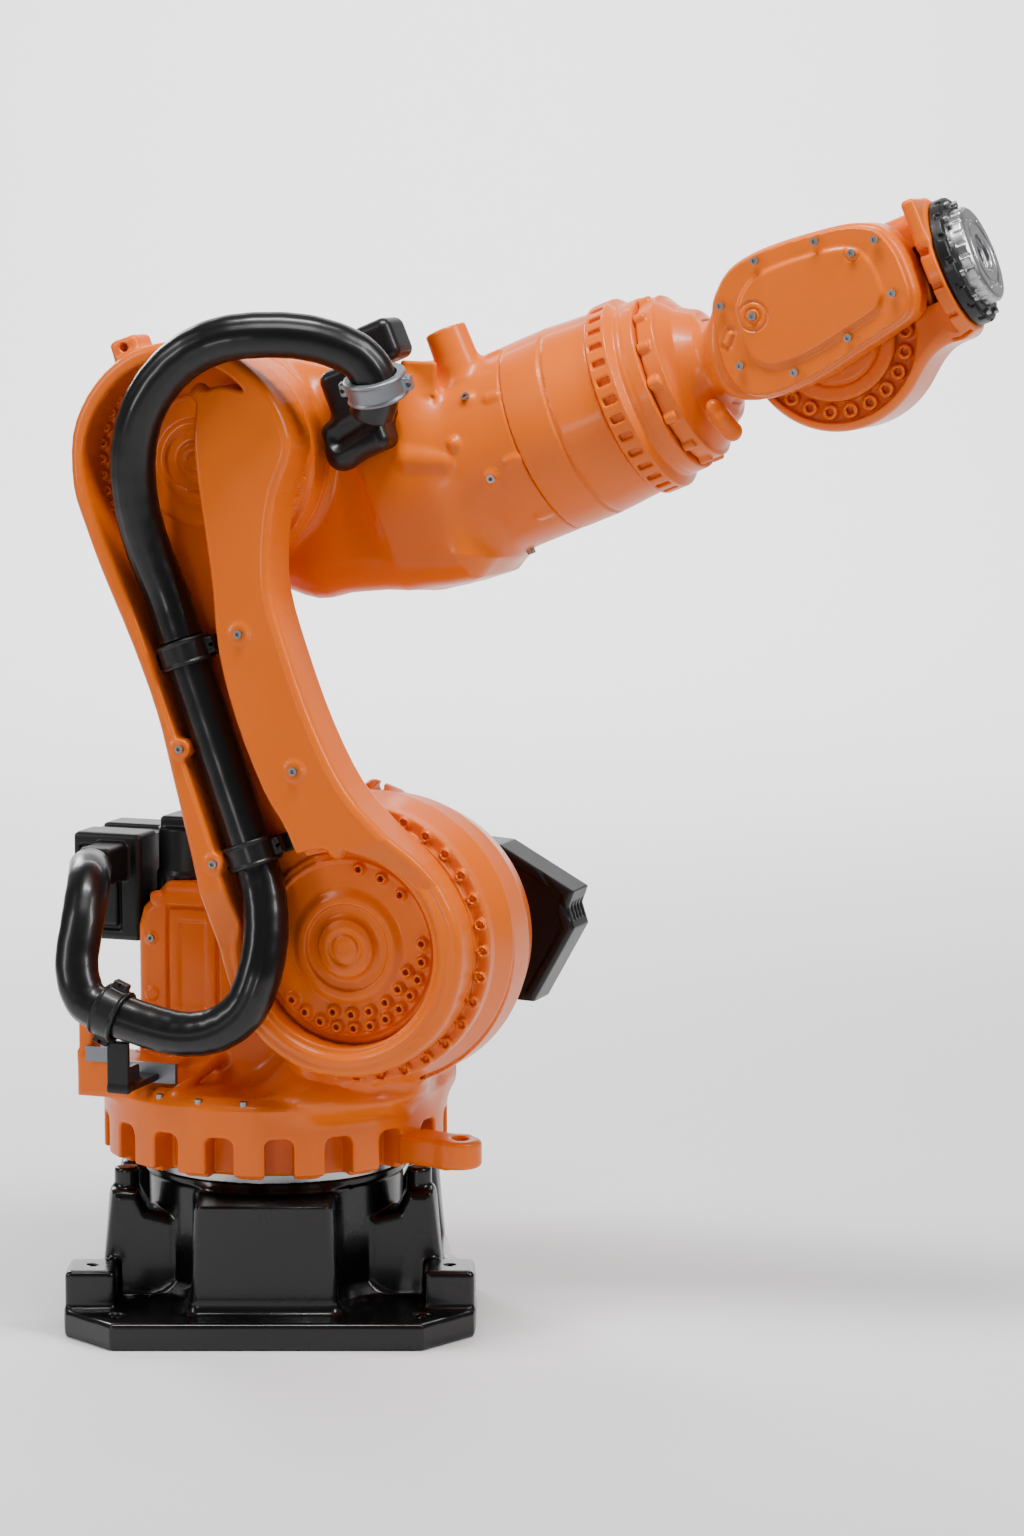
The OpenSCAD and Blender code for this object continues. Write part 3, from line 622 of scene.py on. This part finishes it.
# ---------------------------------------------------------------- forearm
ELBOW_XZ = (0, ELBOW_DROP)
SHOULDER_SIDE = [(-255, 253), (-222, 378), (-128, 474), (0, 508), (150, 476), (320, 372), (450, 292),
                 (560, 250), (560, -250), (340, -250), (250, -222), (150, -192), (60, -174), (-30, -100),
                 (-100, -14), (-196, 86), (-240, 160)]
forearm = Clay()
forearm.add(drum("y", ELBOW_XZ, 288, -258, 235, 14))
forearm.add(plate("y", flow(SHOULDER_SIDE, 3), -231, 208, 96), 26)
forearm.add(drum("x", (0, 0), 254, 340, 756, 3), 60)
forearm.add(block([-290, -150, 133], [-40, 220, 423], 22), 24)
forearm.cut(hoop("y", ELBOW_XZ, 291, -246, 5), 3)
forearm.cut(drum("y", ELBOW_XZ, 220, -300, -100, 3), 3)
forearm.cut(hoop("x", (0, 0), 256, 756, 3.5), 2)
forearm.add(lathe("z", (635, -100), [(200, 62), (270, 56), (345, 54)], 6), 26)
forearm.cut(drum("z", (635, -100), 42, 262, 400, 4), 3)
for along, angle, size in ((662, 36, 27), (662, -14.5, 25), (571, 45, 24), (600, 12, 20)):
    out = (-math.cos(math.radians(angle)), math.sin(math.radians(angle)))
    top = 262 if size > 22 else 268
    start = (along, out[0] * 240, out[1] * 240)
    end = (along, out[0] * (top - size * 0.8), out[1] * (top - size * 0.8))
    forearm.add(rod(start, end, size, size * 0.8), 14)
forearm.cut(rod((571, -160, 224), (571, -224, 160), 8), 2)
# the fin that shields the cable entry
forearm.add(block([500, -190, 205], [600, -172, 292], 8, turn(24, "Y")), 20)
forearm.add(rod((470, -236, 60), (560, -246, 20), 26, 14), 26)
for angle in (110, 150, 190, 230, 300):
    out = (math.cos(math.radians(angle)), math.sin(math.radians(angle)))
    forearm.add(rod((742, out[0] * 247, out[1] * 247), (720, out[0] * 247, out[1] * 247), 13), 12)
forearm.cut(drum("x", (0, 0), 200, 40, 800, 4))
cast("forearm_shell", forearm, ROLL, (-292, -262, -262), (756, 236, 545), 7.0, ORANGE, "forearm",
     ["shoulder_casting", "cable_stub", "lifting_eye"])

ring = Clay()
ring.add(lathe("y", (0, 0), [(-383, 262), (-372, 268), (-340, 268), (-336, 286), (-258, 286)], 5))


def gear_notch(x, y, z):
    return np.maximum(rounded(abs(z) - 11, 262 - x, 5), y + 345)


ring.cut(fold("y", (0, 0), 36, gear_notch), 4)
ring.cut(drum("y", (0, 0), 180, -400, -250, 2), 2)
cast("elbow_gear_ring", ring, ELBOW, (-287, -383, -287), (287, -258, 287), 6, ORANGE, "forearm",
     ["a3_gear_ring"])

tube = Clay()
tube.add(lathe("x", (0, 0), [(756.5, 254), (762, 255), (868, 255), (871, 250), (875, 250), (878, 254),
                             (1000, 244)], 3))
tube.cut(hoop("x", (0, 0), 257, 872, 5), 2)
tube.cut(drum("x", (0, 0), 200, 700, 1100, 2))
cast("extension_shell", tube, ROLL, (756, -256, -256), (1001, 256, 256), 6, ORANGE, "forearm",
     ["extension_tube"])

crown = Clay()
crown.add(lathe("x", (0, 0), [(1000.5, 247), (1006, 256), (1060, 256), (1068, 244), (1074, 234),
                              (1128, 232)], 5))


def crown_notch(x, y, z):
    return rounded(abs(z) - 10, np.maximum(244 - y, np.maximum(1014 - x, x - 1050)), 5)


crown.cut(fold("x", (0, 0), 32, crown_notch), 5)
crown.cut(hoop("x", (0, 0), 236, 1092, 4), 3)
crown.cut(drum("x", (0, 0), 160, 900, 1200, 2))
cast("roll_gear_crown", crown, ROLL, (1000, -256, -256), (1128, 256, 256), 5, ORANGE, "forearm",
     ["a4_gear_housing"])

# ---------------------------------------------------------------- wrist and hand
CASE = [(-235, 60), (-205, 118), (-175, 158), (-128, 192), (-61, 205), (26, 203), (116, 193), (200, 178),
        (262, 148), (288, 105), (300, 50), (298, -30), (282, -68), (258, -92), (197, -108), (88, -128),
        (-21, -147), (-152, -144), (-235, -110), (-260, -40)]
wrist = Clay()
wrist.add(plate("y", flow(CASE, 3), -205, -72, 20))
wrist.add(lathe("x", (0, 0), [(-425, 216), (-378, 218), (-372, 206), (-345, 172), (-300, 146)], 8), 30)
wrist.add(rod((-300, -20, 0), (-200, -118, 10), 108, 84), 60)
wrist.cut(drum("y", (0, 0), 92, -260, -150, 3))
wrist.cut(block([-210, -72, -400], [400, 100, 400], 0))
wrist.cut(drum("y", (0, 0), 303, -72, 300, 6), 4)


def flange_lobe(x, y, z):
    return rounded(np.hypot(y - 214, z) - 16, np.maximum(-425 - x, x + 392), 5)


wrist.add(fold("x", (0, 0), 14, flange_lobe), 6, near=((-430, -226, -226), (-385, 226, 226)))
wrist.cut(drum("x", (0, 0), 76, -600, -240, 2))
wrist.add(drum("x", (0, 0), 120, -510, -420, 2))
wrist.cut(drum("x", (0, 0), 76, -600, -240, 2))
for px, pz in ((-305, -135), (-292, -180)):
    wrist.add(rod((px, -160, pz * 0.8), (px, -130, pz), 20, 26), 24)
cast("wrist_shell", wrist, TILT, (-511, -232, -232), (300, 128, 232), 5.6, ORANGE, "wrist",
     ["wrist_flange", "wrist_housing"])
cover = Clay()
FACE = [(u * 0.975, v * 0.975) for u, v in CASE]
FACE[0] = (-214, 50)
FACE[-1] = (-226, -36)
FACE[-2] = (-206, -100)
cover.add(plate("y", flow(FACE, 3), -237, -205, 24))
SWELL = [(u * 0.72 + 14, v * 0.66 + 14) for u, v in FACE]
cover.cut(block([-400, -260, -400], [400, -230, 400], 0))
cover.add(plate("y", flow(SWELL, 3), -237, -210, 7), 12)
cover.cut(hoop("y", (-103, 56), 36, -237, 3), 4)
for px, pz in ((-47, 180), (113, 166), (189, 105), (255, 112), (248, -25), (104, -84), (-55, -112),
               (-103, 56),
               (-178, -45), (-170, 110)):
    near = ((px - 50, -260, pz - 50), (px + 50, -195, pz + 50))
    cover.cut(hoop("y", (px, pz), 19, -237, 3), 3, near=near)
cover.cut(rod((-196, -240, 14), (-172, -240, 42), 15), 8)
cover.add(rod((-192, -226, 20), (-176, -226, 36), 9), 5)
cast("wrist_cover", cover, TILT, (-230, -237, -146), (295, -205, 202), 4.6, ORANGE, "wrist",
     ["wrist_side_cover"])

RING_S = 325.0
RING_FACE = 362.0
hand = Clay()
hand.add(drum("y", (20, -55), 237, -70, 165, 34))
hand.add(block([60, -70, -180], [350, 160, 160], 40), 60)
hand.add(drum("x", (0, 0), 172, RING_S, RING_FACE, 6), 34)
hand.add(block([RING_S, -165, 60], [RING_FACE, -15, 180], 12), 18)
hand.cut(drum("y", (0, 0), 300, -400, -71, 3), 4)
hand.cut(block([-400, -400, -400], [324, -70, 400], 0))
hand.cut(drum("y", (20, -55), 214, -90, -48, 5), 6)
hand.add(drum("y", (20, -55), 160, -71, -40, 6), 5)
hand.cut(hoop("y", (20, -55), 120, -71, 5), 3)


def hand_boss(x, y, z):
    wall = np.hypot(x - 187, z)
    boss = rounded(wall - 19, np.maximum(-68 - y, y + 40), 4)
    return np.maximum(boss, -rounded(wall - 10, y + 52, 2))


hand.add(fold("y", (20, -55), 22, hand_boss), 5, near=((-225, -72, -300), (265, -38, 190)))
hand.cut(drum("y", (0, -20), 150, 60, 260, 3), 4)
hand.cut(drum("x", (0, 0), 100, 265, 400, 2))
hand.cut(fold("x", (0, 0), 12, block([300, 160, -9], [352, 190, 9], 4), start=15), 4)
cast("hand_shell", hand, TILT, (-222, -165, -295), (RING_FACE, 165, 190), 5.6, ORANGE, "hand",
     ["hand_housing"])

face = Clay()
face.add(drum("x", (0, 0), 99, 345, 370, 1))
face.add(lathe("x", (0, 0), [(364.5, 125), (432, 125), (440, 118)], 3))
face.cut(hoop("x", (0, 0), 82, 440, 4), 3)
face.cut(drum("x", (0, 0), 50, 426, 500, 2), 2)
face.cut(drum("x", (0, 0), 38, 300, 500, 1), 1)
face.cut(fold("x", (0, 0), 6, drum("x", (100, 0), 7, 410, 460, 0.5)), 1.5)
face.cut(fold("x", (0, 0), 24, drum("x", (127, 0), 5, 410, 460, 0.5)), 1.5)
cast("tool_face", face, TILT, (344, -126, -126), (440, 126, 126), 3.2, STEEL, "flange", ["tool_flange"])
collar = Clay()
collar.add(lathe("x", (0, 0), [(364.5, 160), (370, 165), (396, 165), (402, 158)], 4))
collar.cut(drum("x", (0, 0), 126, 300, 500, 1))
collar.cut(fold("x", (0, 0), 16, block([384, 158, -8], [410, 180, 8], 3)), 3)
cast("flange_collar", collar, TILT, (364, -165, -165), (402, 165, 165), 3.6, HOUSING, "flange",
     ["flange_ring"])

# ---------------------------------------------------------------- service hose
ROUTE_COLUMN = [(-385, -330, 1205), (-338, -440, 1185), (-318, -520, 1100), (-312, -570, 990),
                (-275, -590, 908), (-205, -590, 880)]
ROUTE_SHOULDER = [(-205, -590, 880), (-100, -590, 852), (0, -590, 838), (88, -585, 855), (160, -576, 910),
                  (197, -564, 1000), (202, -532, 1095), (185, -502, 1190), (159, -487, 1265)]
ROUTE_LINK = [(159, -487, 1265), (91, -487, 1456), (23, -487, 1647), (-45, -487, 1838)]
ROUTE_ELBOW = [(-45, -487, 1838), (-83, -490, 1950), (-121, -515, 2070), (-141, -545, 2190),
               (-133, -575, 2320), (-88, -600, 2440), (-5, -608, 2540), (95, -602, 2598),
               (205, -575, 2618), (330, -520, 2610), (430, -460, 2565), (470, -430, 2490),
               (445, -400, 2420)]
HOSE_SIDES = 48


def hose(name, route, node, radius=HOSE_R - 1.0):
    """A covered hose bundle: round, with four faint long seams where the cover lies over its lines."""
    line = flow(route, 9, closed=False)
    count = len(line)
    points = []
    before = None
    for i, middle in enumerate(line):
        ahead = line[min(i + 1, count - 1)] - line[max(i - 1, 0)]
        ahead = ahead / np.linalg.norm(ahead)
        if before is None:
            across = np.cross(ahead, (0.3, 1, 0.2))
        else:
            across = before - ahead * np.dot(before, ahead)
        across = across / np.linalg.norm(across)
        before = across
        other = np.cross(ahead, across)
        for k in range(HOSE_SIDES):
            angle = 2 * math.pi * k / HOSE_SIDES
            dip = 3.0 * math.exp(-((math.cos(2 * angle + 0.6) + 1) / 0.05)) + 0.8 * math.sin(i * 0.7) ** 2
            points.append(middle + (radius - dip) * (math.cos(angle) * across + math.sin(angle) * other))
    matrix = np.array(ARM)
    points = (np.array(points) @ matrix[:3, :3].T + matrix[:3, 3]) * MM
    walls = []
    for i in range(count - 1):
        for k in range(HOSE_SIDES):
            m = (k + 1) % HOSE_SIDES
            a, b = i * HOSE_SIDES, (i + 1) * HOSE_SIDES
            walls.append((a + k, a + m, b + m, b + k))
    walls.append(tuple(range(HOSE_SIDES - 1, -1, -1)))
    walls.append(tuple(range((count - 1) * HOSE_SIDES, count * HOSE_SIDES)))
    mesh = bpy.data.meshes.new(name)
    mesh.from_pydata(points.tolist(), [], walls)
    mesh.shade_smooth()
    mesh.update()
    piece = hang(name, mesh, RUBBER, None, [node])
    return piece


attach(hose("hose_from_box", ROUTE_COLUMN, "column_hose"), "column")
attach(hose("hose_on_link", ROUTE_LINK, "link_hose"), "link_arm")
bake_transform(hose("hose_shoulder_loop", ROUTE_SHOULDER, "shoulder_hose"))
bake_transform(hose("hose_elbow_loop", ROUTE_ELBOW, "elbow_hose"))


def clamp(name, route, index, body, node, finish, wide=66, thick=8, foot=None, slide=0):
    """A split clamp band square to the hose, with a rolled lip at both edges and a bolted ear."""
    middle = Vector(route[index])
    ahead = (Vector(route[min(index + 1, len(route) - 1)]) - Vector(route[max(index - 1, 0)])).normalized()
    out = Vector((0, -1, 0))
    out = (out - ahead * out.dot(ahead)).normalized()
    along = out.cross(ahead)
    place = Matrix((along, out, ahead)).transposed().to_4x4()
    place.translation = middle + ahead * slide
    band = Clay()
    half = wide / 2
    band.add(lathe("z", (0, 0), [(-half, 59.6 + thick), (half, 59.6 + thick)], 2.5))
    for end in (-half + 5, half - 5):
        band.add(hoop("z", (0, 0), 59.6 + thick, end, 4), 4)
    for side in (-1, 1):
        band.add(block([side * (66 + thick) - 14, -14, -half + 12],
                       [side * (66 + thick) + 14, 14, half - 12], 4), 6)
        band.cut(drum("y", (side * (72 + thick), 0), 5, -30, 30, 1), 1)
    if foot:
        band.add(block(foot[0], foot[1], 5), 10)
    band.cut(drum("z", (0, 0), 59.2, -200, 200, 1), 1)
    low = (-92, -78, -half - 1)
    high = (92, 78, half + 1)
    if foot:
        low = [min(a, b) for a, b in zip(low, foot[0])]
        high = [max(a, b) for a, b in zip(high, foot[1])]
    return cast(name, band, ARM @ place, low, high, 3.2, finish, body, node)


PLATE = ((-104, -66, -24), (-50, -36, 24))
clamp("lower_link_clamp", ROUTE_LINK, 0, "link_arm", ["link_hose_clamps"], PLASTIC,
      foot=PLATE,
      slide=35)
clamp("upper_link_clamp", ROUTE_LINK, 3, "link_arm", [], PLASTIC, foot=PLATE, slide=-35)
clamp("column_clamp", ROUTE_COLUMN, 5, "column", ["column_hose_clamp"], PLASTIC)
clamp("forearm_clamp", ROUTE_ELBOW, 11, "forearm", ["forearm_hose_clamp"], GREY, wide=60,
      thick=17)

stand = Clay()
stand.add(block([-235, -562, 665], [-175, -544, 800], 5))
stand.add(block([-235, -560, 663], [-175, -366, 681], 5), 10)
stand.add(block([-214, -546, 676], [-196, -440, 720], 5), 14)
cast("hose_stand", stand, ARM, (-235, -562, 663), (-175, -366, 800), 4, PLASTIC, "column", [])

carrier = Clay()
carrier.add(block([300, -343, -150], [470, -230, -30], 30))
carrier.add(rod((330, -300, -120), (476, -262, -62), 40, 20), 30)
carrier.add(block([345, -340, -60], [475, -230, 90], 30), 26)
carrier.add(block([440, -250, 60], [550, -120, 170], 26), 30)
carrier.cut(rod((345, -352, -84), (440, -352, -70), 26), 16)
carrier.cut(drum("x", (0, -ELBOW_DROP), 256, 0, 760, 1), 2)
carrier.cut(drum("y", (0, 0), 293, -500, 0, 1), 3)
cast("hose_carrier_shell", carrier, ELBOW, (292, -345, -150), (550, -120, 170), 4.5, PLASTIC, "forearm",
     ["hose_carrier"])

# ---------------------------------------------------------------- CAD nodes that stay in view
KEPT = {
    "base_bearing_ring": STEEL, "base_gear_unit": GREY, "connector_panel": HOUSING,
    "base_connectors": STEEL,
    "base_screws": ZINC, "turntable_bearing_ring": STEEL, "deck_brackets": GREY, "a2_main_bearing": STEEL,
    "a2_gear_unit": GREY, "column_screws": ZINC, "a2_output_hub": STEEL, "a3_output_hub": STEEL,
    "link_screws": ZINC, "a3_main_bearing": STEEL, "a3_motor": HOUSING, "wrist_motors": HOUSING,
    "wrist_drive_shafts": STEEL, "a4_main_bearing": STEEL, "forearm_screws": ZINC, "wrist_screws": ZINC,
    "a5_gear_train": STEEL, "a5_shaft": STEEL, "a5_gear_cover": ORANGE, "hand_screws": ZINC,
    "a6_gear_unit": GREY,
    "flange_screws": ZINC,
}
SOFT_EDGE = {"a3_motor": 0.012, "wrist_motors": 0.010, "connector_panel": 0.005, "a5_gear_cover": 0.006,
             "deck_brackets": 0.003}
for node, finish in KEPT.items():
    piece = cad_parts[node]
    piece.data.materials.clear()
    piece.data.materials.append(finish)
    bevel = piece.modifiers.new("soft_edges", "BEVEL")
    bevel.width = SOFT_EDGE.get(node, 0.0015)
    bevel.segments = 3
    bevel.limit_method = "ANGLE"
    bevel.angle_limit = math.radians(40)

# ---------------------------------------------------------------- studio
floor_mesh = bpy.data.meshes.new("floor")
sweep = [(-45.0, 0.0), (-4.0, 0.0), (8.0, 0.0), (13.0, 0.0), (16.5, 0.55), (19.5, 2.0), (21.5, 4.6),
         (22.6, 8.5), (23.0, 13.0), (23.2, 20.0)]
floor_line = flow([(a, b) for a, b in sweep], 8, closed=False)
floor_points = [(x, float(p[0]), max(float(p[1]), 0.0)) for p in floor_line for x in (-30.0, 30.0)]
floor_walls = [(2 * i, 2 * i + 1, 2 * i + 3, 2 * i + 2) for i in range(len(floor_line) - 1)]
floor_mesh.from_pydata(floor_points, [], floor_walls)
floor_mesh.shade_smooth()
floor_mesh.materials.append(FLOOR)
floor = bpy.data.objects.new("floor", floor_mesh)
bpy.context.scene.collection.objects.link(floor)


def softbox(name, place, aim, wide, tall, watts):
    light = bpy.data.lights.new(name, "AREA")
    light.shape = "RECTANGLE"
    light.size = wide
    light.size_y = tall
    light.energy = watts
    lamp = bpy.data.objects.new(name, light)
    lamp.location = place
    lamp.rotation_euler = (Vector(aim) - Vector(place)).to_track_quat("-Z", "Y").to_euler()
    bpy.context.scene.collection.objects.link(lamp)


softbox("key_right", (5.4, -3.2, 5.8), (0.4, 0.0, 1.6), 1.5, 3.4, 330)
softbox("strip_left", (-5.0, -2.4, 3.6), (0.0, 0.0, 1.4), 0.9, 4.2, 150)
softbox("top", (0.4, -1.6, 6.8), (0.4, 0.0, 1.0), 3.0, 0.9, 430)
softbox("backdrop_wash", (0.4, 13.5, 9.5), (0.4, 21.0, 2.5), 14.0, 3.0, 2600)
softbox("floor_wash", (0.4, 8.0, 9.0), (0.4, 13.0, 0.0), 14.0, 3.0, 1900)
softbox("rear_left", (-3.6, 6.2, 4.8), (0.0, 0.0, 1.4), 1.6, 3.0, 240)
softbox("low_fill", (-2.4, -7.5, 1.2), (0.3, 0.0, 1.0), 1.6, 1.0, 50)
world = bpy.data.worlds.new("studio")
world.use_nodes = True
world.node_tree.nodes["Background"].inputs["Color"].default_value = (1.0, 1.0, 1.0, 1.0)
world.node_tree.nodes["Background"].inputs["Strength"].default_value = 0.16
bpy.context.scene.world = world

bpy.context.view_layer.update()
